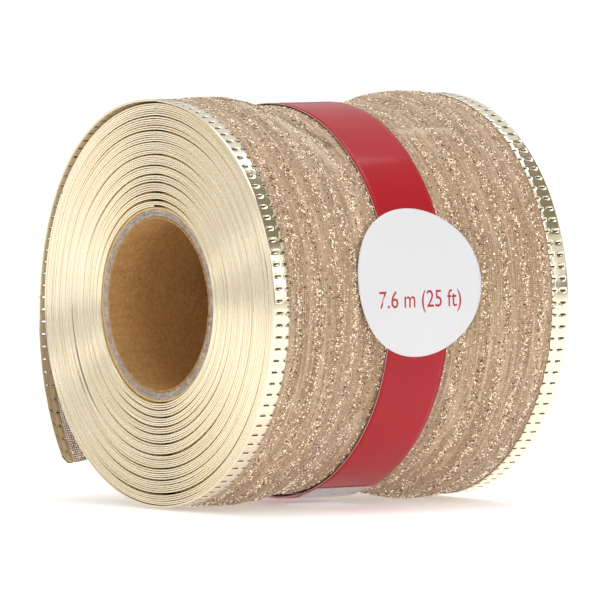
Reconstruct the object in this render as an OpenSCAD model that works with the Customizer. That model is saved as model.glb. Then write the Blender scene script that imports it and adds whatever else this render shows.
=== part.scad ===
// Roll of wired-edge mesh ribbon on a paper tube core, held by a paper belly band.
// The roll's axis lies along Y and the origin is the middle of the core's bore. The front
// end is at -Y. Angles round the roll start at +X and run towards +Z, and the ribbon is
// wound outwards in that direction, so its free end hangs at the -X side.

/* [Ribbon] */
// Width of the ribbon, which is the length of the roll
ribbon_w = 63.5; // [45:0.5:102]
// Length of ribbon on the roll
ribbon_len = 7620; // [3000:10:9500]
// Radial room that one turn takes, air included
turn_pitch = 0.415; // [0.4:0.005:0.6]
// Thickness of the mesh web
web_t = 0.13; // [0.1:0.01:0.14]
// Width of the foil edging on each face of the ribbon
foil_w = 3.5; // [2:0.1:8]
// Thickness of the metallised film
film_t = 0.05; // [0.03:0.01:0.06]
// Diameter of the wire inside each edging
wire_d = 0.18; // [0.12:0.01:0.2]
// Thickness of the finished edge: film, web or wire, film
edge_t = 0.3; // [0.28:0.01:0.36]

/* [Core] */
// Diameter of the bore
bore_d = 30; // [20:0.5:40]
// Thickness of the smooth brown liner of the bore
liner_t = 0.3; // [0.2:0.05:0.6]
// Thickness of each of the two grey chipboard plies
ply_t = 0.7; // [0.4:0.05:1.2]
// Thickness of the outer wrap
wrap_t = 0.3; // [0.2:0.05:0.6]
// How far each end of the core lies inside the ribbon's edge
core_inset = 0.5; // [0:0.1:2]

/* [Waist] */
// Number of outer turns that the belly band squeezes
waist_turns = 12; // [12:1:18]
// How much lower the squeezed middle is than the edges
waist_depth = 1.9; // [1:0.1:2]
// Width of the level bottom of the waist
waist_w = 28; // [27:0.5:34]
// Width of the slope on each side of the waist
slope_w = 5; // [3:0.5:8]

/* [Free end] */
// Angle round the roll that the free end covers
tail_angle = 44; // [20:1:60]
// Gap under the free corners where they leave the roll
tail_root_gap = 0.6; // [0.5:0.1:2]
// Gap under the free corners at the ribbon's end
tail_end_gap = 4.9; // [3:0.1:8]

/* [Belly band] */
// Width of the band
band_w = 12.7; // [8:0.1:18]
// Thickness of the band's paper
band_t = 0.15; // [0.08:0.01:0.25]
// Clearance between the band and the ribbon
band_gap = 0.2; // [0.1:0.05:0.5]
// Angle that the glued lap covers
lap_angle = 20; // [10:1:30]
// Thickness of the clear tape over the lap
tape_t = 0.06; // [0.04:0.01:0.1]
// Angle that the clear tape reaches past the lap's end
tape_past = 9; // [4:1:15]
// Diameter of the round label
label_d = 26.5; // [20:0.5:26.5]
// Thickness of the label
label_t = 0.12; // [0.08:0.01:0.2]
// Angle of the label's middle round the roll
label_angle = 7.5; // [-90:0.5:90]

/* [Hidden] */
$fn = 96;
LEAVES_AT = 180;         // where the free end leaves the roll
LAP_AT = 262;            // where the band's lap begins, near the bottom
START_GAP = 0.1;         // between the core and the first turn
SLIP = 0.02;             // clearance of the wire in its fold
LAP_JOIN = 1;            // angle over which the tape sticks to the lap before its end
JOINED = 5;              // half turns of web that are joined first, before the groups are
NESTED = 0.01;           // how much thinner, on each face, a length of web is that starts inside
NESTED_ANGLE = 0.5;      // the length before it, and how far inside it starts
core_r = bore_d / 2 + liner_t + 2 * ply_t + wrap_t;
core_len = ribbon_w - 2 * core_inset;
first_r = core_r + START_GAP;
web_low = (edge_t - web_t) / 2;

// The wound part is a chain of half turns, each a plain arc. Their centres alternate by half
// a step about the axis and each radius is one step more, so the chain has no kink.
step = turn_pitch / 2;
tail_len = sqrt(first_r * first_r + turn_pitch * ribbon_len / PI) * tail_angle * PI / 180;
wound_len = ribbon_len - tail_len;
lin = first_r + edge_t / 2 - step / 2;
half_turns = (sqrt(lin * lin + 2 * step * wound_len / PI) - lin) / step;
last = ceil(half_turns) - 1;
last_angle = 180 * (half_turns - last);
start_angle = LEAVES_AT - 180 * half_turns;
roll_r = first_r + half_turns * step + edge_t;
squeezed = last - 2 * waist_turns + 1;
waist_r = roll_r - waist_depth;
tongue_w = waist_w - 2;   // the free end's middle, which the band holds down

// The free corners follow an arc about a point on the X axis, through the place where they
// leave the roll and the ribbon's end.
leaf_a = roll_r + tail_root_gap;
leaf_b = roll_r + tail_end_gap;
leaf_x = (leaf_b * leaf_b - leaf_a * leaf_a) / (2 * (leaf_a - leaf_b * cos(tail_angle)));
leaf_r = leaf_a + leaf_x;
leaf_angle = asin(leaf_b * sin(tail_angle) / leaf_r);
leaf_z = leaf_b * sin(tail_angle);

band_r = waist_r + band_gap;

// Everything below is drawn with the roll's axis along Z and its front end up.
module lay_down() { rotate([90, 0, 0]) children(); }
module back_end() { mirror([0, 0, 1]) children(); }

function half_r(k) = first_r + k * step;
function half_angle(k) = k == last ? last_angle : 180;
// The waist deepens from one half turn to the next by less than the air between two turns.
function depth(k) = waist_depth * max(0, k - squeezed) / (last - squeezed);

module at_half_turn(k) {
    rotate(start_angle + 180 * k)
        translate([-step / 2, 0, 0]) children();
}

// A half turn's outline in the flat, between two heights over the turn's inner radius.
module half_ring(k, low, high) {
    far = 2 * roll_r;
    at_half_turn(k)
        intersection() {
            difference() {
                circle(r = half_r(k) + high);
                circle(r = half_r(k) + low);
            }
            translate([-far, 0]) square([2 * far, far]);
            rotate(half_angle(k) - 180) translate([-far, 0]) square([2 * far, far]);
        }
}

module spiral(low, high, from = 0, to = last) {
    for (k = [from : to]) half_ring(k, low, high);
}

// Part of a ring between two radii and two angles, centred on the middle of the roll's length.
module ring_part(inner, outer, from, angle, w) {
    rotate(from)
        rotate_extrude(angle = angle)
            translate([inner, -w / 2]) square([outer - inner, w]);
}

module tube(inner, outer, len) {
    rotate_extrude() translate([inner, -len / 2]) square([outer - inner, len]);
}

module core_liner() {
    color("peru") lay_down() tube(bore_d / 2, bore_d / 2 + liner_t, core_len);
}

module chipboard_ply(n) {
    inner = bore_d / 2 + liner_t + n * ply_t;
    color(n == 0 ? "darkgray" : "silver") lay_down() tube(inner, inner + ply_t, core_len);
}

module core_wrap() {
    color("burlywood") lay_down() tube(core_r - wrap_t, core_r, core_len);
}

// Tape that holds the ribbon's first turn to the core.
module start_tape() {
    tape_angle = 50;
    color("ivory")
        lay_down()
            ring_part(core_r, core_r + tape_t, start_angle - tape_angle / 2, tape_angle, ribbon_w / 3);
}

// Section of the web in a squeezed turn: high at both edges and lower in the middle.
module waisted_section(k) {
    top = waist_w / 2 + slope_w;
    flat = waist_w / 2;
    d = depth(k);
    inner = [[0, -web_half], [0, -top], [-d, -flat], [-d, flat], [0, top], [0, web_half]];
    outer = [for (i = [5 : -1 : 0]) inner[i] + [web_t, 0]];
    translate([half_r(k) + web_low, 0]) polygon(concat(inner, outer));
}
web_half = ribbon_w / 2 - film_t - wire_d - 4 * SLIP;

module ribbon_web() {
    low = web_low + NESTED;
    high = web_low + web_t - NESTED;
    end_r = half_r(last) - depth(last);
    color("rosybrown")
        lay_down() {
            translate([0, 0, -web_half])
                linear_extrude(2 * web_half) spiral(web_low, web_low + web_t, 0, squeezed - 1);
            at_half_turn(squeezed)
                ring_part(half_r(squeezed) + low, half_r(squeezed) + high,
                          -NESTED_ANGLE, 180 + NESTED_ANGLE, 2 * (web_half - NESTED));
            for (first = [squeezed + 1 : JOINED : last])
                for (k = [first : min(first + JOINED - 1, last)])
                    at_half_turn(k)
                        rotate_extrude(angle = half_angle(k)) waisted_section(k);
            at_half_turn(last)
                ring_part(end_r + low, end_r + high, last_angle - NESTED_ANGLE,
                          tail_angle + NESTED_ANGLE, tongue_w);
        }
}

// Film folded round the web's edge, open towards the middle of the ribbon.
module edge_foil() {
    color("khaki")
        translate([0, 0, ribbon_w / 2 - foil_w])
            difference() {
                linear_extrude(foil_w) spiral(0, edge_t);
                translate([0, 0, -film_t])
                    linear_extrude(foil_w) spiral(film_t, edge_t - film_t);
            }
}
module front_edge_foil() { lay_down() edge_foil(); }
module back_edge_foil() { lay_down() back_end() edge_foil(); }

wire_z = ribbon_w / 2 - film_t - SLIP - wire_d / 2;

// The long wire is drawn square, because a round one is far too fine to mesh.
module edge_wire() {
    color("dimgray")
        translate([0, 0, wire_z - wire_d / 2])
            linear_extrude(wire_d) spiral((edge_t - wire_d) / 2, (edge_t + wire_d) / 2);
}
module front_edge_wire() { lay_down() edge_wire(); }
module back_edge_wire() { lay_down() back_end() edge_wire(); }

// A strip along the free corner's arc, at a height over its inner face.
module leaf_strip(low, high, z_low, z_high) {
    translate([leaf_x, 0, 0])
        rotate(LEAVES_AT)
            rotate_extrude(angle = leaf_angle)
                translate([leaf_r + low, z_low]) square([high - low, z_high - z_low]);
}

// Everything beyond the slanted line along which the corner folds.
module beyond_fold() {
    far = 2 * roll_r;
    rotate([0, -90, 0])
        linear_extrude(far)
            polygon([[ribbon_w / 2, 0], [waist_w / 2, -leaf_z], [waist_w / 2, -far], [far, -far], [far, 0]]);
}

module corner_web() {
    color("tan")
        intersection() {
            leaf_strip(web_low, web_low + web_t, waist_w / 2, web_half);
            beyond_fold();
        }
}

module corner_foil() {
    bottom = ribbon_w / 2 - foil_w;
    color("khaki")
        intersection() {
            difference() {
                leaf_strip(0, edge_t, bottom, ribbon_w / 2);
                leaf_strip(film_t, edge_t - film_t, bottom - film_t, ribbon_w / 2 - film_t);
            }
            beyond_fold();
        }
}

module corner_wire() {
    // the wire begins where the fold line has left room for it
    free = 2;
    color("dimgray")
        translate([leaf_x, 0, 0])
            rotate(LEAVES_AT + free)
                rotate_extrude(angle = leaf_angle - free)
                    translate([leaf_r + edge_t / 2, wire_z]) circle(d = wire_d);
}
module front_corner_web() { lay_down() corner_web(); }
module front_corner_foil() { lay_down() corner_foil(); }
module front_corner_wire() { lay_down() corner_wire(); }
module back_corner_web() { lay_down() back_end() corner_web(); }
module back_corner_foil() { lay_down() back_end() corner_foil(); }
module back_corner_wire() { lay_down() back_end() corner_wire(); }

// One paper strip round the waist, its end lapped over its start.
module belly_band() {
    color("crimson")
        lay_down() {
            tube(band_r, band_r + band_t, band_w);
            ring_part(band_r + band_t, band_r + 2 * band_t, LAP_AT, lap_angle, band_w);
        }
}

// Clear tape over the lap and down onto the single layer past it.
module band_seal_tape() {
    top = band_r + 2 * band_t;
    color("whitesmoke")
        lay_down() {
            ring_part(top, top + tape_t, LAP_AT + lap_angle / 2, lap_angle / 2 + LAP_JOIN, band_w);
            ring_part(band_r + band_t, top + tape_t, LAP_AT + lap_angle, tape_past, band_w);
        }
}

// A round sticker that follows the band's curve and reaches past both its edges.
module round_label() {
    inner = band_r + band_t;
    color("white")
        lay_down()
            rotate(label_angle)
                intersection() {
                    tube(inner, inner + label_t, waist_w);
                    rotate([0, 90, 0]) cylinder(d = label_d, h = roll_r);
                }
}

core_liner();
chipboard_ply(0);  // core_inner_ply
chipboard_ply(1);  // core_outer_ply
core_wrap();
start_tape();
ribbon_web();
front_edge_foil();
back_edge_foil();
front_edge_wire();
back_edge_wire();
front_corner_web();
front_corner_foil();
front_corner_wire();
back_corner_web();
back_corner_foil();
back_corner_wire();
belly_band();
band_seal_tape();
round_label();
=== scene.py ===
"""A roll of wired-edge glitter mesh ribbon on a paper core, with a red belly band and a round label.

The roll's axis is the frame's Y axis, with the front end at -Y. Places on the roll are given in
millimetres and in degrees: an angle round the roll starts at +X and runs towards +Z, and a winding
angle starts at the ribbon's inner end and grows outwards, to the place where the free end leaves
the roll and on to the ribbon's cut end.
"""
import math
import bpy
import numpy as np
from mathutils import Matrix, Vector


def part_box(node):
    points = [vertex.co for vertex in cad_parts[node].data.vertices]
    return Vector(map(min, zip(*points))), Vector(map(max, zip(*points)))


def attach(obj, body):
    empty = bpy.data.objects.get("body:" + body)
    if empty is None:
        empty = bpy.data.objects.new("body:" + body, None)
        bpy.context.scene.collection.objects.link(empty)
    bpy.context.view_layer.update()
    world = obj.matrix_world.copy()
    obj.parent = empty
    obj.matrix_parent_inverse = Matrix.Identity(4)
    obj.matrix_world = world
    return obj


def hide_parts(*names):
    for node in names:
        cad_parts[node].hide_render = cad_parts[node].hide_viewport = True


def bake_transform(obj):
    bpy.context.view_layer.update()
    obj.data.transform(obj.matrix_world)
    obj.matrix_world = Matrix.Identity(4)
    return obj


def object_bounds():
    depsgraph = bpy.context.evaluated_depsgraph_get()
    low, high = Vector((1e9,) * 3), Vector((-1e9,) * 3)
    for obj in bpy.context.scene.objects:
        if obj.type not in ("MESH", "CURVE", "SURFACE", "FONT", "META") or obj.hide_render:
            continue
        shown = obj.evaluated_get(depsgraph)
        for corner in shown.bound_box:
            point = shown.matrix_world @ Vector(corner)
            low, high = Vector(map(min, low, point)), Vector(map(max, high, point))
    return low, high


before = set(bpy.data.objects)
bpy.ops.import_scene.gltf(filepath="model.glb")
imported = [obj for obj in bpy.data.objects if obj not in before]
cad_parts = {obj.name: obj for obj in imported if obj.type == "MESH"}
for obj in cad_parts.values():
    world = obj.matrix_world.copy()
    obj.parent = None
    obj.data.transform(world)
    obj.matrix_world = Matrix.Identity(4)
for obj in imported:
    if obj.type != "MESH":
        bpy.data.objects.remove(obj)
cad_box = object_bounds()
scene = bpy.context.scene
MM = 0.001

# ---------------------------------------------------------------- camera

AZIMUTH, ELEVATION = 54.2, 2.9        # degrees
DISTANCE, LENS = 1.9915, 665.0        # metres from the aim, and millimetres of focal length
AIM_RIGHT, AIM_DOWN = 0.53, 1.16      # from the origin to the middle of the picture, in millimetres


def direction(azimuth, elevation):
    """From the origin towards a place seen at that azimuth and elevation, in degrees."""
    a, e = math.radians(azimuth), math.radians(elevation)
    return Vector((math.sin(a) * math.cos(e), -math.cos(a) * math.cos(e), math.sin(e)))


def aimed(obj, place, target=(0, 0, 0)):
    """The object in the scene at a place, turned towards its target."""
    obj.location = place
    obj.rotation_euler = (Vector(target) - Vector(place)).to_track_quat("-Z", "Y").to_euler()
    scene.collection.objects.link(obj)
    return obj


back = direction(AZIMUTH, ELEVATION)
right = direction(AZIMUTH + 90, 0)
aim = right * AIM_RIGHT * MM - back.cross(right) * AIM_DOWN * MM
camera = bpy.data.objects.new("camera", bpy.data.cameras.new("camera"))
camera.data.lens, camera.data.sensor_width = LENS, 36
camera.data.clip_start, camera.data.clip_end = 0.1, 60
scene.camera = aimed(camera, aim + back * DISTANCE, aim)

# ---------------------------------------------------------------- sizes, in millimetres and degrees

HALF_W = 31.75           # half the ribbon's width
PITCH = 0.415            # radial room of one turn in the CAD
WOUND_PITCH = 0.405      # and where the turns are drawn tight
FIRST_R = 17.1           # inner face of the first turn
CAD_EDGE_T = 0.3         # thickness of the folded edge in the CAD
EDGE_T = 0.31            # and as it is drawn
FILM_T = 0.03
WEB_T = 0.05
FOIL_W = 3.5
WIRE_D = 0.12
LEAVES_AT = 180          # angle round the roll where the free end leaves it
TAIL = 44                # winding angle of the free end
WAIST_TURNS, WAIST_DEPTH = 12, 1.35      # turns that the band squeezes, and how deep the last is
LEVEL_W = 13.5           # half width that the band holds down
BAND_T, BAND_W = 0.15, 12.7
SEAL_T = 0.05
LAP_AT, LAP = 262, 20    # angle where the band starts, and how far its end laps over it
LABEL_D, LABEL_T, LABEL_AT = 26.5, 0.12, 7.5      # LABEL_AT is the angle of its middle
SLOT_PITCH = 3.4         # degrees from one slot of the edging to the next
STANDS_FREE = 90         # degrees before the free end where the edge starts to stand off the roll
ENDS = ((-1, "front"), (1, "back"))      # each end of the roll, with the sign of its y

roll_r = -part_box("front_edge_foil")[0].x / MM
band_r = -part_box("belly_band")[0].x / MM - BAND_T
core_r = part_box("core_wrap")[1].x / MM
liner_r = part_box("core_liner")[1].x / MM
ply_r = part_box("core_inner_ply")[1].x / MM
board_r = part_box("core_outer_ply")[1].x / MM
core_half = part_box("core_wrap")[1].y / MM
bore_r = 15.0            # inner radius of the liner
end = 360 * (roll_r - FIRST_R - CAD_EDGE_T) / PITCH      # winding angle where the ribbon leaves the roll
rng = np.random.default_rng(7)


def smooth(t):
    """From 0 to 1 with a soft start and end, as t goes from 0 to 1."""
    t = np.clip(t, 0, 1)
    return t * t * (3 - 2 * t)


def waves(count, low, high, seed):
    """A smooth function of degrees, made of waves with low to high periods in a turn."""
    r = np.random.default_rng(seed)
    k = r.integers(low, high + 1, count)
    p = r.uniform(0, 2 * math.pi, count)
    a = r.normal(0, 1, count) / math.sqrt(count)
    return lambda deg: sum(a[i] * np.cos(np.radians(deg) * k[i] + p[i]) for i in range(count))


# ---------------------------------------------------------------- the winding

WIDE_GAPS = (2, 5, 9, 12, 16, 21, 27, 32, 38)      # turns with a wider gap outside them
TIGHTEST, LOOSEST = -0.18, 1.5      # a gap's least and most, as a share of the pitch over or under it


def own_gap(turn, deg):
    """How much wider than the pitch one turn's gap is at each degree, as a share of the pitch: a little
    uneven in every turn, and much wider in some."""
    uneven = waves(7, 1, 7, 100 + turn)(deg) * 0.09 + rng.normal(0, 0.09)
    if turn not in WIDE_GAPS:
        return uneven - 0.13
    return uneven + 0.62 * (0.75 + 0.35 * waves(3, 1, 2, 500 + turn)(deg))


def winding_table():
    """Radius of the edge's inner face at each degree of winding. Some turns lie apart and some tight."""
    extra = 3      # turns past the last whole one, for the free end
    turns = int(end // 360) + extra
    loose = np.zeros((turns, 361))
    deg = np.arange(361)
    own = [own_gap(i, deg) for i in range(turns + 1)]
    share = smooth((deg - 250) / 110)      # one turn's gap passes into the next over the last 110 degrees
    for i in range(turns):
        loose[i] = own[i] * (1 - share) + own[i + 1] * share
    wound = turns - extra
    loose[:wound] -= loose[:wound].mean(0)
    loose[wound:] = 0
    gap = WOUND_PITCH * (1 + np.clip(loose, TIGHTEST, LOOSEST))
    radius = np.zeros((turns, 361))
    radius[0] = FIRST_R + gap[0][0] * deg / 360
    for i in range(1, turns):
        radius[i] = radius[i - 1] + gap[i - 1]
    spare = (FIRST_R + WOUND_PITCH * (wound + deg / 360)) - radius[wound]
    radius += np.arange(turns)[:, None] / wound * spare
    return radius[:, :-1].ravel()


TABLE = winding_table()


def edge_radius(theta):
    """Radius of the folded edge's inner face at a winding angle, before the free end lifts."""
    return np.interp(theta, np.arange(len(TABLE)), TABLE)


def round_angle(theta):
    """The angle round the roll of a winding angle."""
    return LEAVES_AT + (theta - end)


# how far the last turn's sides rise, by degrees past the place where the ribbon leaves the roll
LIFT_AT = np.array([-110, -95, -80, -65, -44, -20, 0, 16, 30, TAIL])
LIFT = np.array([0, 0, 0.45, 0.95, 1.25, 1.15, 1.3, 2.1, 3.4, 4.9])
each_degree = np.arange(-130, TAIL + 20, 1.0)
straight_lift = np.interp(each_degree, LIFT_AT, LIFT)
soft_lift = np.convolve(straight_lift, np.hanning(17) / np.hanning(17).sum(), "same")
near_cut = each_degree > TAIL - 9      # the rounding would pull the cut end down, so it stays straight here
soft_lift[near_cut] = straight_lift[near_cut]
CURL = 2.0                   # and how much more they curl up, and their edges down again
RIDGE_Y = HALF_W - 2.9       # where the curl is highest


def free_lift(theta, y):
    """How far the last turn stands off the roll towards the ribbon's end, where only the band holds it."""
    rise = np.interp(theta - end, each_degree, soft_lift)
    side = np.abs(y)
    curl = CURL * smooth((theta - end + 10) / 50)
    across = smooth((side - LEVEL_W) / (RIDGE_Y - LEVEL_W))
    down = np.clip((side - RIDGE_Y) / (HALF_W - RIDGE_Y), 0, 1)
    return (rise + curl) * across - curl * smooth(down / 1.3) / smooth(1 / 1.3)


PRESSED_AT, PRESSED = 172, 0.06      # angle round the roll, and share of the winding's thickness


def oval(radius, theta, y):
    """The same radius, less where the roll's front has been pressed and lies tighter."""
    off = (round_angle(theta) - PRESSED_AT + 180) % 360 - 180
    return radius - (radius - core_r) * PRESSED * np.exp(-((off / 46) ** 2)) * smooth((-y - 13) / 14)


ruck = [waves(9, 2, 9, 40 + i) for i in range(8)]
RUCK_AT = np.array([-27, -21, -17, -14, 14, 17.5, 22, 27.5])      # y of each ruck's middle
CREASE_R = 35            # radius at which a crease's angles become millimetres
CREASES = [  # angle and y of both ends, half width, height
    (78, -9, 48, -14, 0.9, 0.30), (70, -14.5, 40, -19, 0.8, 0.26), (62, 7, 55, 19, 0.9, 0.50),
    (40, -7.5, 18, -13.5, 1.0, 0.22), (-20, 8, -45, 15, 1.0, 0.25), (100, 8, 84, 18, 1.2, 0.35),
    (30, 15, 10, 19, 0.8, 0.18), (-30, -8, -58, -14, 0.9, 0.3),
    (90, -20, 52, -7.6, 1.1, -0.45), (79, -20.5, 42, -9.5, 1.2, 0.50),
]


def waist(theta, y):
    """How far the web lies under the straight line between its edges: the band squeezes the middle."""
    turn = np.clip((end - theta) / 360, 0, None)
    depth = WAIST_DEPTH * np.clip(1 - turn / WAIST_TURNS, 0, 1)
    phi = round_angle(theta)
    side = np.abs(y)
    shoulder = 18.5 + 1.6 * ruck[0](phi) * (y < 0) + 1.2 * ruck[5](phi) * (y > 0)      # where the fall starts
    level = LEVEL_W - 3.2 + 0.8 * ruck[3](phi)                                         # and where it ends
    return depth * (1 - smooth((side - level) / (shoulder - level)))


def creases(phi, y):
    """Height of the single creases and tucks, each of which fades towards its ends."""
    height = 0
    fade = 2.5
    for a0, y0, a1, y1, half_width, high in CREASES:
        x = np.radians((phi - a0 + 180) % 360 - 180) * CREASE_R
        dx, dy = math.radians(a1 - a0) * CREASE_R, y1 - y0
        length = math.hypot(dx, dy)
        along = (x * dx + (y - y0) * dy) / length
        off = (x * dy - (y - y0) * dx) / length
        profile = high * np.exp(-((off / half_width) ** 2))
        height = height + profile * smooth(along / fade) * smooth((length - along) / fade)
    return height


def rucks(theta, y):
    """Low soft waves and a few creases in the three outer turns, but not under the band or the edging."""
    phi = round_angle(theta)
    height = 0
    for f, at in zip(ruck, RUCK_AT):
        height = height + 0.16 * (0.6 + f(phi)) * np.exp(-((y - at) / 2.4) ** 2)
    height = height + 0.10 * ruck[2](phi * 2 + y * 3) * smooth((np.abs(y) - 9) / 4)
    bulge = 0.45 * np.exp(-((y - 22) / 6.0) ** 2) + 0.35 * np.exp(-((y + 18.5) / 4.5) ** 2)
    height = height + bulge + creases(phi, y)
    inside = smooth((HALF_W - FOIL_W - np.abs(y)) / 3) * smooth((np.abs(y) - 6.6) / 3.5)
    outer = smooth(1 - (end - theta) / 360 / 3)
    return height * inside * outer


JITTER_STEP = 40         # degrees of winding from one random place of the edge to the next
step = rng.normal(0, 1, len(TABLE) // JITTER_STEP + 2)
JITTER = 0.02 + 0.10 * np.abs(np.interp(np.arange(len(TABLE)) / JITTER_STEP, np.arange(len(step)), step))
JITTER *= np.interp(np.arange(len(TABLE)), [0, end - 420, end - 300], [1, 1, 0.2])


def edge_jitter(theta):
    """How far the edge lies inside the ribbon's full width: the turns aren't wound exactly level."""
    return np.interp(theta, np.arange(len(TABLE)), JITTER)


def web_radius(theta, y):
    """Radius of the middle of the web's thickness."""
    wound = edge_radius(theta) + EDGE_T / 2 - waist(theta, y) + rucks(theta, y)
    return oval(wound, theta, y) + free_lift(theta, y) + 0.012 * np.sin(y * 1.3 + theta * 0.05)


def on_roll(radius, theta, y):
    """Points at a radius, a winding angle and a place across the ribbon."""
    phi = np.radians(round_angle(theta))
    return np.stack([radius * np.cos(phi), np.broadcast_to(y, radius.shape), radius * np.sin(phi)], -1)


# ---------------------------------------------------------------- mesh helpers

def mesh_object(name, points, faces, materials, uv=None, kinds=None, smooth_shaded=True):
    """An object from points in millimetres and faces of one size. kinds is each face's material number."""
    mesh = bpy.data.meshes.new(name)
    count, size = faces.shape
    mesh.vertices.add(len(points))
    mesh.vertices.foreach_set("co", (points * MM).astype(np.float32).ravel())
    mesh.loops.add(count * size)
    mesh.loops.foreach_set("vertex_index", faces.astype(np.int32).ravel())
    mesh.polygons.add(count)
    mesh.polygons.foreach_set("loop_start", np.arange(0, count * size, size, dtype=np.int32))
    mesh.polygons.foreach_set("loop_total", np.full(count, size, np.int32))
    if kinds is not None:
        mesh.polygons.foreach_set("material_index", kinds.astype(np.int32))
    mesh.update(calc_edges=True)
    if uv is not None:
        layer = mesh.uv_layers.new(name="flat")
        layer.data.foreach_set("uv", (uv[faces.ravel()] * MM).astype(np.float32).ravel())
    if smooth_shaded:
        mesh.shade_smooth()
    for m in materials:
        mesh.materials.append(m)
    obj = bpy.data.objects.new(name, mesh)
    scene.collection.objects.link(obj)
    return obj


def shell(top, bottom, keep=None):
    """Closed thin solid between two grids of points. Rows run round the roll and columns run across it.

    keep says which cells are there. Returns the points, the quads and a mark for each quad that is part
    of a cut edge."""
    rows, cols = top.shape[:2]
    number = np.arange(rows * cols).reshape(rows, cols)
    if keep is None:
        keep = np.ones((rows - 1, cols - 1), bool)
    a, b, c, d = number[:-1, :-1], number[:-1, 1:], number[1:, 1:], number[1:, :-1]
    under = rows * cols
    quads = [np.stack([a, b, c, d], -1)[keep], np.stack([a, d, c, b], -1)[keep] + under]
    faces = sum(len(q) for q in quads)
    padded = np.pad(keep, 1)
    for p, q, beside in ((a, d, padded[1:-1, :-2]), (c, b, padded[1:-1, 2:]),
                         (b, a, padded[:-2, 1:-1]), (d, c, padded[2:, 1:-1])):
        wall = keep & ~beside
        p, q = p[wall], q[wall]
        quads.append(np.stack([p, q, q + under, p + under], -1))
    quads = np.vstack(quads)
    kinds = np.zeros(len(quads), np.int32)
    kinds[faces:] = 1
    return np.vstack([top.reshape(-1, 3), bottom.reshape(-1, 3)]), quads, kinds


def used_only(points, faces, uv=None):
    """The same mesh without the points that no face uses."""
    used, back_to = np.unique(faces, return_inverse=True)
    return points[used], back_to.reshape(faces.shape), None if uv is None else uv[used]


def flat_map(theta, across):
    """Where each grid point lies on the flat ribbon: across it, and along it from the inner end."""
    along = np.concatenate([[0], np.cumsum(np.diff(theta) * math.pi / 180 * edge_radius(theta[1:]))])
    along = along + 2 * math.pi * (FIRST_R + edge_radius(theta[0])) / 2 * theta[0] / 360
    return np.stack(np.broadcast_arrays(across[None, :], along[:, None]), -1)


# ---------------------------------------------------------------- materials

class Nodes:
    """Short names for making a node material. Every method that makes nodes gives back an output socket,
    but add gives back the node, and set and bump fill the shader's inputs."""

    def __init__(self, name, **values):
        self.material = bpy.data.materials.new(name)
        self.material.use_nodes = True
        self.tree = self.material.node_tree
        self.shader = self.tree.nodes["Principled BSDF"]
        for k, v in values.items():
            self.shader.inputs[k.replace("_", " ")].default_value = v

    def add(self, kind, inputs=None, **settings):
        node = self.tree.nodes.new("ShaderNode" + kind)
        for k, v in settings.items():
            setattr(node, k, v)
        for k, v in (inputs or {}).items():
            self.put(node.inputs[k], v)
        return node

    def put(self, socket, value):
        if isinstance(value, bpy.types.NodeSocket):
            self.tree.links.new(value, socket)
        else:
            socket.default_value = value

    def math(self, operation, *values):
        return self.add("Math", dict(enumerate(values)), operation=operation).outputs[0]

    def mapped(self, scale, source="UV", place=(0, 0, 0)):
        start = self.add("TexCoord").outputs[source]
        return self.add("Mapping", {"Vector": start, "Scale": scale, "Location": place}).outputs[0]

    def noise(self, vector, scale=1.0, detail=3.0, rough=0.5, distortion=0.0):
        return self.add("TexNoise", {"Vector": vector, "Scale": scale, "Detail": detail,
                                     "Roughness": rough, "Distortion": distortion}).outputs[0]

    def ramp(self, value, *stops):
        node = self.add("ValToRGB", {"Fac": value})
        marks = node.color_ramp.elements
        while len(marks) < len(stops):
            marks.new(0.5)
        for mark, (place, colour) in zip(marks, stops):
            mark.position = place
            mark.color = colour if hasattr(colour, "__len__") else (colour, colour, colour, 1)
        return node.outputs[0]

    def mix(self, share, first, second, blend="MIX"):
        node = self.add("Mix", data_type="RGBA", blend_type=blend)
        for i, v in ((0, share), (6, first), (7, second)):
            self.put(node.inputs[i], v)
        return node.outputs[2]

    def bump(self, height, strength, distance):
        node = self.add("Bump", {"Height": height, "Strength": strength, "Distance": distance})
        self.put(self.shader.inputs["Normal"], node.outputs[0])

    def set(self, **sockets):
        for k, v in sockets.items():
            self.put(self.shader.inputs[k.replace("_", " ")], v)
        return self.material


def rgb(r, g, b):
    """An sRGB colour of 0 to 255 as a node colour."""
    def linear(c):
        return c / 12.92 if c <= 0.04045 else ((c + 0.055) / 1.055) ** 2.4
    return (*(linear(c / 255) for c in (r, g, b)), 1)


def kraft_material():
    n = Nodes("kraft_liner", Roughness=0.7)
    at = n.mapped((1, 1, 1), "Object")
    fibres = n.noise(n.mapped((1300, 1900, 1300), "Object"), 1, 4, 0.6)
    flecks = n.noise(at, 1500, 2, 0.7)
    cloud = n.noise(at, 90, 3)
    base = n.mix(cloud, rgb(150, 104, 52), rgb(182, 134, 74))
    base = n.mix(n.ramp(fibres, (0.42, 0), (0.62, 1)), base, n.mix(0.4, base, rgb(206, 164, 100)))
    base = n.mix(n.ramp(flecks, (0.66, 0), (0.72, 0.8)), base, rgb(120, 78, 40))
    n.bump(n.math("ADD", fibres, flecks), 0.25, 0.00006)
    return n.set(Base_Color=base)


def board_material():
    n = Nodes("chipboard", Roughness=0.9)
    at = n.mapped((1, 1, 1), "Object")
    grain = n.noise(at, 2200, 4, 0.7)
    lumps = n.noise(at, 420, 3)
    base = n.ramp(grain, (0.3, rgb(126, 110, 96)), (0.55, rgb(188, 171, 156)),
                  (0.75, rgb(222, 208, 192)))
    base = n.mix(n.ramp(lumps, (0.4, 0), (0.7, 0.6)), base, rgb(140, 124, 112))
    n.bump(n.math("ADD", grain, lumps), 0.7, 0.00014)
    return n.set(Base_Color=base)


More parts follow.
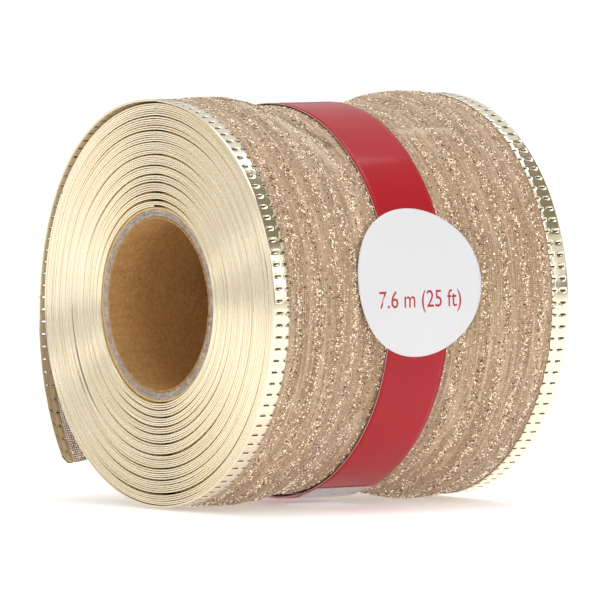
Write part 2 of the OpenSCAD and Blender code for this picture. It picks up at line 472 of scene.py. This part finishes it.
def wrap_material():
    n = Nodes("core_wrap", Roughness=0.6)
    fibres = n.noise(n.mapped((400, 400, 3000), "Object"), 1, 3)
    n.bump(fibres, 0.3, 0.00004)
    return n.set(Base_Color=n.mix(fibres, rgb(196, 158, 98), rgb(236, 208, 150)))


def mesh_material(name, sheer):
    """Woven mesh: fine threads along and across, a brown ground, and pale threads in places. The UV map is
    the flat ribbon in metres, across it and along it. sheer opens the holes between the threads."""
    n = Nodes(name, Roughness=0.5, Sheen_Weight=0.15, Sheen_Roughness=0.4)
    thread_across, thread_along = 0.00039, 0.00036      # metres from one thread to the next
    split = n.add("SeparateXYZ", {"Vector": n.mapped((1, 1, 1))})
    across, along = split.outputs[0], split.outputs[1]
    waver = n.math("MULTIPLY", n.noise(n.mapped((60, 90, 1)), 1, 2), 0.0009)
    wavered = n.math("ADD", across, waver)
    lengthwise = n.math("SINE", n.math("MULTIPLY", wavered, 2 * math.pi / thread_across))
    crosswise = n.math("SINE", n.math("MULTIPLY", along, 2 * math.pi / thread_along))
    threads = n.math("MAXIMUM", lengthwise, crosswise)
    ground = n.noise(n.mapped((700, 45, 1)), 1, 4, 0.6)
    patch = n.noise(n.mapped((90, 60, 1)), 1, 3, 0.6)
    cells = n.add("TexVoronoi", {"Vector": n.mapped((3600, 3000, 1)), "Scale": 1.0},
                  voronoi_dimensions="2D")
    speck = n.add("SeparateColor", {"Color": cells.outputs["Color"]}).outputs[0]
    base = n.ramp(ground, (0.28, rgb(116, 84, 55)), (0.5, rgb(153, 120, 87)),
                  (0.70, rgb(205, 176, 143)))
    base = n.mix(n.ramp(patch, (0.35, 0), (0.65, 0.55)), base, rgb(166, 128, 94))
    base = n.mix(n.ramp(threads, (0.35, 0), (1.0, 0.45)), base, rgb(214, 186, 152))
    base = n.mix(n.ramp(speck, (0.0, 0.35), (0.18, 0.15), (0.25, 0), (1, 0)), base, rgb(84, 56, 34))
    # pale specks of fine glitter, painted bright as its glints
    base = n.mix(n.ramp(speck, (0.78, 0), (0.9, 0.25), (1, 0.5)), base, rgb(232, 206, 168))
    streaks = n.noise(n.mapped((2400, 22, 1), place=(1, 7, 0)), 1, 2)
    base = n.mix(n.ramp(streaks, (0.52, 0), (0.70, 0.5)), base, rgb(224, 202, 174))
    fold = n.add("Attribute", attribute_name="fold").outputs["Fac"]       # painted shade in the tucks and painted highlight on the ridges, from the crease heights
    base = n.mix(n.ramp(n.math("MULTIPLY", fold, -2.0), (0.05, 0), (0.8, 0.8)), base, rgb(82, 56, 36))
    base = n.mix(n.ramp(n.math("MULTIPLY", fold, 1.6), (0.05, 0), (0.8, 0.5)), base, rgb(230, 212, 188))
    # painted shade: the web inside the film's fold, seen through the slots, is darkened
    painted_shade_under_film = n.math("GREATER_THAN", n.math("ABSOLUTE", across), (HALF_W - FOIL_W + 0.15) * MM)
    base = n.mix(painted_shade_under_film, base, rgb(84, 56, 34))
    n.bump(n.math("ADD", threads, n.math("MULTIPLY", speck, 1.2)), 0.5, 0.00007)
    if sheer:
        hole = n.math("LESS_THAN", threads, -0.05)
        n.set(Alpha=n.math("SUBTRACT", 1, n.math("MULTIPLY", hole, 0.85)))
    return n.set(Base_Color=base)


def foil_material(name, dented):
    """Metallised film: a champagne mirror, with soft dents where it lies free."""
    n = Nodes(name, Metallic=1.0, Roughness=0.12 if dented else 0.27)
    tone = n.noise(n.mapped((160, 30, 1), place=(3, 5, 0)), 1, 2)
    base = n.ramp(tone, (0.35, rgb(243, 230, 200)), (0.65, rgb(250, 240, 216)))
    if dented:
        n.bump(n.noise(n.mapped((220, 45, 1)), 1, 2, 0.4), 0.10, 0.0010)
    return n.set(Base_Color=base)


def backing_material():
    """The film's brown inner side."""
    n = Nodes("film_back", Roughness=0.5)
    fine = n.noise(n.mapped((1500, 900, 1)), 1, 3)
    return n.set(Base_Color=n.mix(fine, rgb(70, 44, 26), rgb(120, 84, 54)))


def satin_material():
    """The film where it faces the roll, rubbed to a satin gold."""
    n = Nodes("film_satin", Metallic=0.25, Roughness=0.45)
    fine = n.noise(n.mapped((700, 260, 1)), 1, 3)
    return n.set(Base_Color=n.mix(fine, rgb(244, 216, 166), rgb(255, 246, 222)))


def flake_material():
    """Glitter, each flake with its own tone from the mesh; the brightest flakes glow as painted glints."""
    n = Nodes("glitter", Metallic=0.45, Roughness=0.3, Emission_Color=rgb(255, 236, 204))
    tone = n.add("Attribute", attribute_name="tone").outputs["Fac"]
    base = n.ramp(tone, (0.0, rgb(84, 56, 34)), (0.3, rgb(134, 98, 64)), (0.45, rgb(206, 170, 128)),
                  (0.66, rgb(252, 232, 200)), (1.0, rgb(255, 250, 238)))
    painted_glint_glow = n.ramp(tone, (0.55, 0), (0.85, 1))      # painted glints: the brightest flakes glow a little
    return n.set(Base_Color=base, Emission_Strength=n.math("MULTIPLY", painted_glint_glow, 0.8))


def red_paper_material():
    n = Nodes("band_paper", Roughness=0.45, Specular_IOR_Level=0.12, Coat_Weight=0.4, Coat_Roughness=0.12)
    fine = n.noise(n.mapped((900, 900, 1)), 1, 3)
    soft = n.noise(n.mapped((70, 40, 1)), 1, 2)
    base = n.mix(soft, rgb(160, 12, 26), rgb(174, 18, 32))
    base = n.mix(n.ramp(fine, (0.6, 0), (0.8, 0.15)), base, rgb(186, 40, 50))
    n.bump(n.math("ADD", n.math("MULTIPLY", fine, 0.03), soft), 0.2, 0.0006)
    return n.set(Base_Color=base)


def paper_edge_material():
    n = Nodes("paper_edge", Roughness=0.85)
    fine = n.noise(n.mapped((2500, 2500, 2500), "Object"), 1, 2)
    return n.set(Base_Color=n.mix(fine, rgb(222, 150, 148), rgb(248, 216, 210)))


def label_material():
    n = Nodes("label_paper", Roughness=0.42, Coat_Weight=0.25, Coat_Roughness=0.3)
    fine = n.noise(n.mapped((1400, 1400, 1)), 1, 3)
    soft = n.noise(n.mapped((50, 50, 1)), 1, 2)
    n.bump(n.math("ADD", n.math("MULTIPLY", fine, 0.15), soft), 0.08, 0.0004)
    return n.set(Base_Color=n.mix(soft, rgb(216, 215, 217), rgb(224, 223, 225)))


def ink_material():
    n = Nodes("label_ink", Roughness=0.5)
    fine = n.noise(n.mapped((2400, 2400, 2400), "Object"), 1, 2)
    return n.set(Base_Color=n.mix(fine, rgb(168, 22, 40), rgb(190, 40, 56)))


def tape_material(name, colour, alpha):
    n = Nodes(name, Roughness=0.18, Alpha=alpha, Coat_Weight=0.5)
    soft = n.noise(n.mapped((260, 120, 1)), 1, 3)
    n.bump(soft, 0.6, 0.0006)
    return n.set(Base_Color=n.mix(soft, colour, rgb(255, 255, 255)))


def wire_material():
    n = Nodes("wire", Metallic=1.0, Roughness=0.35)
    fine = n.noise(n.mapped((3000, 3000, 3000), "Object"), 1, 2)
    return n.set(Base_Color=n.mix(fine, rgb(120, 114, 104), rgb(176, 168, 152)))


KRAFT, BOARD, WRAP = kraft_material(), board_material(), wrap_material()
MESH, SHEER = mesh_material("mesh_web", False), mesh_material("mesh_web_free", True)
FOIL, WOUND_FOIL = foil_material("foil", True), foil_material("foil_wound", False)
BACKING, SATIN, GLITTER, WIRE = backing_material(), satin_material(), flake_material(), wire_material()
RED, PAPER_EDGE = red_paper_material(), paper_edge_material()
LABEL, INK = label_material(), ink_material()
CLEAR = tape_material("clear_tape", rgb(240, 236, 232), 0.45)
IVORY = tape_material("start_tape", rgb(236, 226, 198), 1.0)


# ---------------------------------------------------------------- core

def tube(name, inner, outer, half, ragged, materials, node, seed):
    """A paper tube whose two rims are torn a little, up to ragged millimetres."""
    around = np.arange(0, 360, 1.0)
    fine, coarse = waves(40, 20, 170, seed), waves(12, 3, 20, seed + 1)
    rag = ragged * (0.5 * fine(around) + 0.35 * coarse(around))[:, None]
    share = np.array([[0, 0.35, 0.7, 1]])
    rim = half - np.abs(rag) * (1 - share) - 0.04 * ragged * rng.normal(0, 1, (360, 4)) ** 2
    lengths = np.linspace(-1, 1, 9)[None, 1:-1] * (half - 1)
    wall = np.broadcast_to(lengths, (360, 7))

    def ring(r, y):
        a = np.radians(around)[:, None]
        r = np.broadcast_to(r, y.shape)
        return np.stack([r * np.cos(a), y, r * np.sin(a)], -1)

    uneven = 0.12 * ragged * fine(around)[:, None]
    radii = inner + (outer - inner) * share + uneven * (1 - share)
    outline = np.concatenate([ring(inner, wall), ring(radii, rim),
                              ring(outer, wall[:, ::-1]), ring(radii[:, ::-1], -rim[:, ::-1])], 1)
    columns = outline.shape[1]
    number = np.arange(360 * columns).reshape(360, columns)
    after, beside = np.roll(number, -1, 0), np.roll(number, -1, 1)
    quads = np.stack([number, beside, np.roll(after, -1, 1), after], -1).reshape(-1, 4)
    obj = mesh_object(name, outline.reshape(-1, 3), quads[:, ::-1], materials, smooth_shaded=False)
    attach(obj, "roll"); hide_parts(node)
    return obj


liner = tube("core_liner_paper", bore_r, liner_r, core_half - 0.05, 0.25, [KRAFT],
             "core_liner", 11)
tube("core_inner_board", liner_r, ply_r, core_half - 0.1, 0.35, [BOARD],
     "core_inner_ply", 21)
tube("core_outer_board", ply_r, board_r, core_half - 0.05, 0.25, [BOARD],
     "core_outer_ply", 31)
tube("core_wrap_paper", board_r, core_r, core_half, 0.12, [WRAP],
     "core_wrap", 41)
for poly in liner.data.polygons:
    poly.use_smooth = abs(poly.normal.y) < 0.5

tape_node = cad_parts["start_tape"]
tape_node.data.materials.clear()
tape_node.data.materials.append(IVORY)

# ---------------------------------------------------------------- ribbon web

OUTER_FROM = end - 400      # the outermost turns are made finely from here on
WEB_EDGE = HALF_W - 0.25    # the web ends just inside the fold of the edging
UNDER_FILM = 29.3           # and where the edge stands free it ends here, hidden by the film


def web_piece(name, theta, across, keep, materials):
    """A stretch of the ribbon's mesh, with its creases' heights as an attribute that the material turns into
    painted shade in the tucks and painted highlight on the ridges.
    """
    mid = web_radius(theta[:, None], across[None, :])
    t, y = theta[:, None], across[None, :]
    top, low = on_roll(mid + WEB_T / 2, t, y), on_roll(mid - WEB_T / 2, t, y)
    points, quads, _ = shell(top, low, keep)
    fold = np.broadcast_to(creases(round_angle(t), y), mid.shape)
    uv = np.hstack([flat_map(theta, across).reshape(-1, 2), fold.reshape(-1, 1)])
    points, quads, uv = used_only(points, quads, np.vstack([uv, uv]))
    obj = mesh_object(name, points, quads, materials, uv[:, :2])
    obj.data.attributes.new("fold", "FLOAT", "POINT").data.foreach_set("value", uv[:, 2].astype(np.float32))
    return obj


inner_across = np.array([-WEB_EDGE, -28, -22, -17, -11, 0, 11, 17, 22, 28, WEB_EDGE])
wound_theta = np.linspace(0, OUTER_FROM, int(OUTER_FROM / 7.5))
wound = web_piece("web_wound", wound_theta, inner_across, None, [MESH])
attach(wound, "roll"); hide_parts("ribbon_web")

tail_theta = np.arange(end, end + TAIL + 0.01, 1.1)
outer_theta = np.concatenate([np.arange(OUTER_FROM, end, 1.25), tail_theta])
side_across = np.concatenate([np.arange(LEVEL_W, 28.5, 0.75), [UNDER_FILM, WEB_EDGE]])
outer_across = np.concatenate([-side_across[::-1], np.arange(-12.5, 12.6, 1.0), side_across])
row_from = outer_theta[:-1, None]
column_y = np.abs((outer_across[:-1] + outer_across[1:]) / 2)
keep = (row_from < end - 0.01) | (column_y < LEVEL_W)      # past the end only the middle is this piece's
keep &= (row_from < end - STANDS_FREE) | (column_y < UNDER_FILM)
outer = web_piece("web_outer", outer_theta, outer_across, keep, [MESH])
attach(outer, "roll")


def on_corner(obj):
    """Bakes the piece's placement into its mesh."""
    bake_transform(obj)


corner_across = side_across[:-1]
for side, where in ENDS:
    across = corner_across if side > 0 else -corner_across[::-1]
    corner = web_piece(f"{where}_corner_mesh", tail_theta, across, None, [SHEER])
    on_corner(corner)
    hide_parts(f"{where}_corner_web")

# ---------------------------------------------------------------- foil edging

SLOT, NOTCH_FROM = (0.6, 1.8), 2.7      # distances from the edge of a slot, and of a notch in the border
SLOT_HALF = 0.07         # half of a slot's share of the pitch, in the middle of which it lies
SLOT_STEPS = np.array([0.0, 0.22, 0.43, 0.57, 0.78])      # steps of the mesh in one pitch
SATIN_FROM = 100         # degrees before the free end where the last turn's under side starts to show
LEGS_PLAIN = [0.7, 2.0, FOIL_W]
LEGS_SLOTTED = [0.3, 0.6, 1.2, 1.8, 2.25, 2.7, FOIL_W]


def slot_theta(start, stop):
    """Winding angles that have a step on each side of every slot."""
    first, last = math.floor(start / SLOT_PITCH), math.ceil(stop / SLOT_PITCH)
    marks = (np.arange(first, last + 1)[:, None] + SLOT_STEPS).ravel() * SLOT_PITCH
    inside = marks[(marks > start + 0.2) & (marks < stop - 0.2)]
    return np.concatenate([[start], inside, [stop]])


def slot_cells(theta, depth):
    """Which cells of the edging are open: slots near the edge, and notches in the border."""
    row_mid = ((theta[:-1] + theta[1:]) / 2)[:, None]
    column_mid = (depth[:-1] + depth[1:]) / 2
    cut = np.abs((row_mid / SLOT_PITCH) % 1 - 0.5) < SLOT_HALF
    slot = (column_mid > SLOT[0]) & (column_mid < SLOT[1])
    notch = column_mid > NOTCH_FROM
    upper = np.arange(len(column_mid)) > len(column_mid) / 2
    both = row_mid > end - STANDS_FREE       # the slots show from both sides where the edge stands free
    return cut & (slot | notch) & (upper | both)


def edging(name, side, theta, arc, legs, slotted, jag):
    """Film folded over the ribbon's edge. arc is the number of columns round the fold, legs are the
    distances from the edge of the columns on each leg, and jag is how far the border strays."""
    t = theta[:, None]
    bend = np.radians(np.linspace(-90, 90, arc + 2))[1:-1]
    legs = np.asarray(legs, float)
    count = len(legs)
    depth = np.concatenate([legs[::-1], EDGE_T / 2 * (1 - np.cos(bend)), legs])
    height = np.concatenate([np.full(count, -1.0), np.sin(bend), np.full(count, 1.0)]) * EDGE_T / 2
    border = jag[:, None] * (depth > legs[-1] - 0.01)
    from_edge = depth[None, :] + border + edge_jitter(t)
    y = side * (HALF_W - from_edge)
    mid = oval(edge_radius(t) + EDGE_T / 2, t, y) + free_lift(t, y)
    normal_y = np.concatenate([np.zeros(count), np.cos(bend), np.zeros(count)])
    normal_r = np.concatenate([-np.ones(count), np.sin(bend), np.ones(count)])

    def skin(offset):
        radius = mid + height[None, :] + normal_r[None, :] * offset
        return on_roll(radius, t, y + side * normal_y[None, :] * offset)

    outside, inside = skin(0.0), skin(-FILM_T)
    keep = np.ones((len(theta) - 1, len(depth) - 1), bool)
    if slotted:
        keep &= ~slot_cells(theta, depth)
    run = np.cumsum(np.abs(np.diff(depth, prepend=depth[0])) + 0.02)      # across the film when it lies flat
    if side > 0:
        outside, inside, keep, run = outside[:, ::-1], inside[:, ::-1], keep[:, ::-1], run[::-1]
    uv = flat_map(theta, run).reshape(-1, 2)
    points, quads, _ = shell(outside, inside, keep)
    grid = points.shape[0] // 2
    corner = quads.min(1)
    row, column = corner % grid // len(depth), corner % grid % len(depth)
    kinds = (corner >= grid).astype(np.int32)      # 0 is the outer side, and 1 is the inner side
    if slotted:
        lower = (column < count) if side < 0 else (column >= len(depth) - count - 1)
        satin = lower & (theta[row] > end - SATIN_FROM)
    else:
        satin = (column < count - 1) | (column >= len(depth) - count)
    kinds[(kinds == 0) & satin] = 2
    points, quads, uv = used_only(points, quads, np.vstack([uv, uv]))
    obj = mesh_object(name, points, quads, [FOIL if slotted else WOUND_FOIL, BACKING, SATIN], uv, kinds)
    return obj


BORDER_JAG = 0.12
plain_theta = np.arange(0, OUTER_FROM + 8, 3.7)      # finer steps pass the export's limit on triangles
outer_slots, tail_slots = slot_theta(OUTER_FROM, end), slot_theta(end, end + TAIL)
foils = {}
for side, where in ENDS:
    inner = edging(f"{where}_foil_wound", side, plain_theta, 5, LEGS_PLAIN, False, np.zeros(len(plain_theta)))
    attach(inner, "roll"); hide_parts(f"{where}_edge_foil")
    jag = rng.normal(0, BORDER_JAG, len(outer_slots))
    last = edging(f"{where}_foil_outer", side, outer_slots, 6, LEGS_SLOTTED, True, jag)
    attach(last, "roll")
    jag = rng.normal(0, BORDER_JAG, len(tail_slots))
    tail = edging(f"{where}_corner_film", side, tail_slots, 6, LEGS_SLOTTED, True, jag)
    on_corner(tail)
    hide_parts(f"{where}_corner_foil")
    foils[where] = [inner, last, tail]


def wire(name, side, theta):
    """Wire in the fold, as a thin tube of six sides."""
    t = theta[:, None]
    a = np.radians(np.arange(0, 360, 60))[None, :]
    y = side * (HALF_W - FILM_T - WIRE_D / 2 - 0.02 - edge_jitter(t) - WIRE_D / 2 * np.cos(a))
    r = oval(edge_radius(t) + EDGE_T / 2, t, y) + free_lift(t, y) + WIRE_D / 2 * np.sin(a)
    rings = on_roll(r, t, y)
    number = np.arange(len(theta) * 6).reshape(-1, 6)
    here, after = number[:-1], number[1:]
    quads = np.stack([here, after, np.roll(after, -1, 1), np.roll(here, -1, 1)], -1).reshape(-1, 4)
    first, last = number[0], number[-1]
    caps = [first[[0, 1, 2, 3]], first[[0, 3, 4, 5]], last[[3, 2, 1, 0]], last[[5, 4, 3, 0]]]
    obj = mesh_object(name, rings.reshape(-1, 3), np.vstack([quads, *caps])[:, ::side], [WIRE])
    return obj


for side, where in ENDS:
    coil = wire(f"{where}_wire_wound", side, np.arange(0, end, 3.0))
    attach(coil, "roll"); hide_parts(f"{where}_edge_wire")
    free = wire(f"{where}_wire_free", side, np.linspace(end, end + TAIL - 0.5, 16))
    on_corner(free)
    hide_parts(f"{where}_corner_wire")
    foils[where] += [coil, free]

# ---------------------------------------------------------------- glitter

ROWS, ROW_PITCH = 14, 4.05      # rows of flakes across the ribbon
IN_ROWS = 0.70           # share of the flakes that lie in a row
FLAKES_TO = 28.9         # no flake lies further from the ribbon's middle, under the film
FLAKES_FROM = 6.25       # and none is made nearer to it, under the band
row_waver = [waves(10, 2, 14, 300 + i) for i in range(ROWS)]


def flake_places(count, theta_low, theta_high):
    """Winding angles and places across the ribbon: more than half of the flakes lie in wavering rows."""
    theta = rng.uniform(theta_low, theta_high, count)
    row = rng.integers(0, ROWS, count)
    centre = (row - (ROWS - 1) / 2) * ROW_PITCH
    waver = np.zeros(count)
    for i in range(ROWS):
        here = row == i
        waver[here] = 0.35 * row_waver[i](theta[here])
    in_row = rng.random(count) < IN_ROWS
    y = np.where(in_row, centre + waver + rng.normal(0, 0.48, count), rng.uniform(-28.6, 28.6, count))
    good = np.abs(y) < FLAKES_TO
    return theta[good], y[good]


def flakes(name, theta, y, outward):
    """Small tilted flakes, each a flat closed tetrahedron. outward is 1 on the outer face and -1 inside."""
    count = len(theta)
    lift = outward * (WEB_T / 2 + 0.03)
    phi = np.radians(round_angle(theta))
    radial = np.stack([np.cos(phi), np.zeros(count), np.sin(phi)], -1) * outward
    along = np.stack([-np.sin(phi), np.zeros(count), np.cos(phi)], -1)
    across = np.tile([0.0, 1.0, 0.0], (count, 1))
    centre = radial * outward * (web_radius(theta, y) + lift)[:, None]
    centre[:, 1] = y
    tilt = rng.normal(0, 0.30, (count, 2))
    normal = radial + tilt[:, :1] * along + tilt[:, 1:] * across
    normal /= np.linalg.norm(normal, axis=1)[:, None]
    one = np.cross(normal, across)
    one /= np.linalg.norm(one, axis=1)[:, None]
    two = np.cross(normal, one)
    size = rng.uniform(0.10, 0.26, count)[:, None]
    spin = rng.uniform(0, 2 * math.pi, count)
    points_at = [centre + size * (np.cos(spin + k)[:, None] * one + np.sin(spin + k)[:, None] * two)
                 for k in (0, 2.1, 4.2)]
    tip = centre - normal * 0.035
    points = np.stack([*points_at, tip], 1).reshape(-1, 3)
    base = np.arange(count)[:, None] * 4
    faces = np.concatenate([base + np.array([f]) for f in ([0, 1, 2], [0, 3, 1], [1, 3, 2], [2, 3, 0])], 0)
    facing = np.cross(points_at[1] - points_at[0], points_at[2] - points_at[0])
    inward = np.einsum("ij,ij->i", facing, normal) < 0
    swap = np.tile(inward, 4)
    faces[swap] = faces[swap][:, ::-1]
    obj = mesh_object(name, points, faces, [GLITTER], smooth_shaded=False)
    tone = np.repeat(rng.beta(1.0, 0.62, count), 4).astype(np.float32)
    obj.data.attributes.new("tone", "FLOAT", "POINT").data.foreach_set("value", tone)
    return obj


theta, y = flake_places(46000, end - 360, end)
shown = np.abs(y) > FLAKES_FROM
body_flakes = flakes("glitter_wound", theta[shown], y[shown], 1)
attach(body_flakes, "roll")
theta, y = flake_places(5200, end, end + TAIL - 0.3)
level = (np.abs(y) > FLAKES_FROM) & (np.abs(y) < LEVEL_W - 1)      # past this the turning label is near
tongue_flakes = flakes("glitter_tongue", theta[level], y[level], 1)
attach(tongue_flakes, "roll")
for side, where in ENDS:
    here = y * side > LEVEL_W
    for face, outward in (("outer", 1), ("inner", -1)):
        obj = flakes(f"glitter_{where}_corner_{face}", theta[here], y[here], outward)
        on_corner(obj)

# ---------------------------------------------------------------- belly band, tape and label

def strip(name, phi, radius, half_width, thickness, materials, columns, wave):
    """A strip round the roll. radius is its inner face at each angle, and wave is added to that."""
    p, y = np.radians(phi)[:, None], np.linspace(-half_width, half_width, columns)[None, :]
    low = radius[:, None] + wave(phi[:, None], y)

    def skin(r):
        return np.stack([r * np.cos(p), np.broadcast_to(y, r.shape), r * np.sin(p)], -1)

    points, quads, kinds = shell(skin(low + thickness), skin(low))
    uv = np.stack(np.broadcast_arrays(y, p * radius.mean()), -1).reshape(-1, 2)
    return mesh_object(name, points, quads, materials, np.vstack([uv, uv]),
                       kinds if len(materials) > 1 else None)


def keep_edges_sharp(obj):
    """Cut edges of paper stay crisp."""
    for poly in obj.data.polygons:
        if poly.material_index == 1:
            poly.use_smooth = False


def band_wave(phi, y):
    """The band isn't quite round, and its sides ripple a little."""
    ripple = 0.02 * np.cos(np.radians(phi) * 11) * (y / (BAND_W / 2)) ** 2
    return 0.03 * np.cos(np.radians(phi) * 3 + 1) + ripple


def crumple(phi, y):
    """Small crumples of the tape, which is flat at its sides."""
    return 0.05 + 0.05 * np.abs(np.sin(np.radians(phi) * 60 + y * 1.1)) * smooth((6 - np.abs(y)) / 2)


band_phi = np.arange(LAP_AT, LAP_AT + 360 + LAP + 0.01, 1.0)
climb = smooth((band_phi - (LAP_AT + 348)) / 11)      # over its own start, where it laps
band = strip("belly_band_paper", band_phi, band_r + climb * (BAND_T + 0.02), BAND_W / 2, BAND_T,
             [RED, PAPER_EDGE], 15, band_wave)
keep_edges_sharp(band)
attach(band, "belly_band"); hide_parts("belly_band")

seal_phi = np.arange(LAP_AT + 8, LAP_AT + LAP + 9.1, 0.6)
on_lap = 1 - smooth((seal_phi - (LAP_AT + LAP + 0.3)) / 1.5)      # the tape steps down off the lap
seal = strip("seal_tape_film", seal_phi, band_r + BAND_T + on_lap * (BAND_T + 0.03), BAND_W / 2 - 0.3,
             SEAL_T, [CLEAR], 21, crumple)
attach(seal, "belly_band"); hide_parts("band_seal_tape")

label_r = band_r + BAND_T + 0.06


def on_label(across, up, height):
    """Points of the label. across is along the roll and up is round it, from the label's middle."""
    phi = math.radians(LABEL_AT) + up / label_r
    r = label_r + height
    return np.stack([r * np.cos(phi), np.broadcast_to(across, phi.shape), r * np.sin(phi)], -1)


def label_rise(across):
    """The sticker's sides, past the band, stand a little off the ribbon."""
    return 0.18 * smooth((np.abs(across) - 8) / 4.5)


u, v = np.meshgrid(np.linspace(-1, 1, 49), np.linspace(-1, 1, 49))      # a square grid, made into a disc
across, up = LABEL_D / 2 * u * np.sqrt(1 - v**2 / 2), LABEL_D / 2 * v * np.sqrt(1 - u**2 / 2)
rise = label_rise(across)
points, quads, kinds = shell(on_label(across, up, rise + LABEL_T), on_label(across, up, rise))
uv = np.stack([across, up], -1).reshape(-1, 2)
label = mesh_object("round_label_paper", points, quads, [LABEL, LABEL], np.vstack([uv, uv]), kinds)
keep_edges_sharp(label)
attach(label, "belly_band"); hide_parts("round_label")


def printed(name, words, width, height, up):
    """Words in the plain built-in letters, laid on the label as thin ink, up millimetres above its middle."""
    curve = bpy.data.curves.new(name, "FONT")
    curve.body, curve.align_x, curve.align_y = words, "CENTER", "CENTER"
    curve.resolution_u, curve.extrude = 6, 0.01
    source = bpy.data.objects.new(name, curve)
    scene.collection.objects.link(source)
    bpy.context.view_layer.update()
    mesh = bpy.data.meshes.new_from_object(source.evaluated_get(bpy.context.evaluated_depsgraph_get()))
    bpy.data.objects.remove(source)
    co = np.zeros(len(mesh.vertices) * 3)
    mesh.vertices.foreach_get("co", co)
    co = co.reshape(-1, 3)
    low, high = co.min(0), co.max(0)
    place = (co - (low + high) / 2) / (high - low)
    across = place[:, 0] * width
    round_it = place[:, 1] * height + up
    lifted = LABEL_T + label_rise(across) + 0.012 + place[:, 2] * 0.02
    mesh.vertices.foreach_set("co", (on_label(across, round_it, lifted) * MM).astype(np.float32).ravel())
    mesh.update()
    mesh.materials.append(INK)
    obj = bpy.data.objects.new(name, mesh)
    scene.collection.objects.link(obj)
    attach(obj, "belly_band")


printed("label_length", "7.6 m (25 ft)", 17.6, 3.9, -3.5)

# ---------------------------------------------------------------- floor and light

FLOOR_SIZE = 400         # metres, so that its far edge is at the horizon of every view
bpy.ops.mesh.primitive_plane_add(size=FLOOR_SIZE, location=(0, 0, cad_box[0].z - 0.00005))
floor = bpy.context.object
floor.name = "floor"
n = Nodes("floor", Roughness=0.9)
cloud = n.noise(n.mapped((3, 3, 3), "Object"), 1, 2)
n.set(Base_Color=n.mix(cloud, (0.93, 0.93, 0.93, 1), (0.95, 0.95, 0.95, 1)),
      Emission_Color=(1, 1, 1, 1), Emission_Strength=0.32)
floor.data.materials.append(n.material)


def card(name, place, width, height, colour):
    """A card that only mirrors in the foil."""
    bpy.ops.mesh.primitive_plane_add(size=1)
    obj = bpy.context.object
    obj.name = name
    obj.location = place
    obj.rotation_euler = (-Vector(place)).to_track_quat("Z", "Y").to_euler()
    obj.scale = (width, height, 1)
    shade = Nodes(name, Roughness=1.0)
    shade.set(Base_Color=colour)
    obj.data.materials.append(shade.material)
    for what in ("camera", "diffuse", "shadow", "transmission"):
        setattr(obj, "visible_" + what, False)


card("dark_card_high", Vector((0.28, 0.58, 0.60)) * 0.9, 0.95, 0.40, rgb(124, 118, 102))


def area_light(name, place, width, height, power):
    """A rectangular light at a place in metres, turned towards the object."""
    light = bpy.data.lights.new(name, "AREA")
    light.shape, light.size, light.size_y, light.energy = "RECTANGLE", width, height, power
    aimed(bpy.data.objects.new(name, light), place)


area_light("top_light", (0.1, 0.15, 0.75), 0.55, 0.55, 2.2)
area_light("key_light", (0.65, -0.75, 0.55), 0.35, 0.35, 1.1)
area_light("side_light", (0.9, 0.5, 0.3), 0.25, 0.5, 0.5)

# the sky's level by the height of the direction: white up to the horizon, a soft grey band just above it
# that the foil mirrors, and white higher up
SKY = ((0.0, 1.3), (0.045, 0.32), (0.11, 0.34), (0.17, 0.95), (1.0, 1.0))
world = bpy.data.worlds.new("studio")
scene.world = world
world.use_nodes = True
sky = world.node_tree
height = sky.nodes.new("ShaderNodeSeparateXYZ")
grey = sky.nodes.new("ShaderNodeValToRGB")
sky.links.new(sky.nodes.new("ShaderNodeTexCoord").outputs["Generated"], height.inputs[0])
sky.links.new(height.outputs["Z"], grey.inputs[0])
sky.links.new(grey.outputs[0], sky.nodes["Background"].inputs[0])
marks = grey.color_ramp.elements
while len(marks) < len(SKY):
    marks.new(0.5)
for mark, (place, level) in zip(marks, SKY):
    mark.position, mark.color = place, (level, level, level, 1)
sky.nodes["Background"].inputs[1].default_value = 0.80
scene.view_settings.view_transform = "Standard"
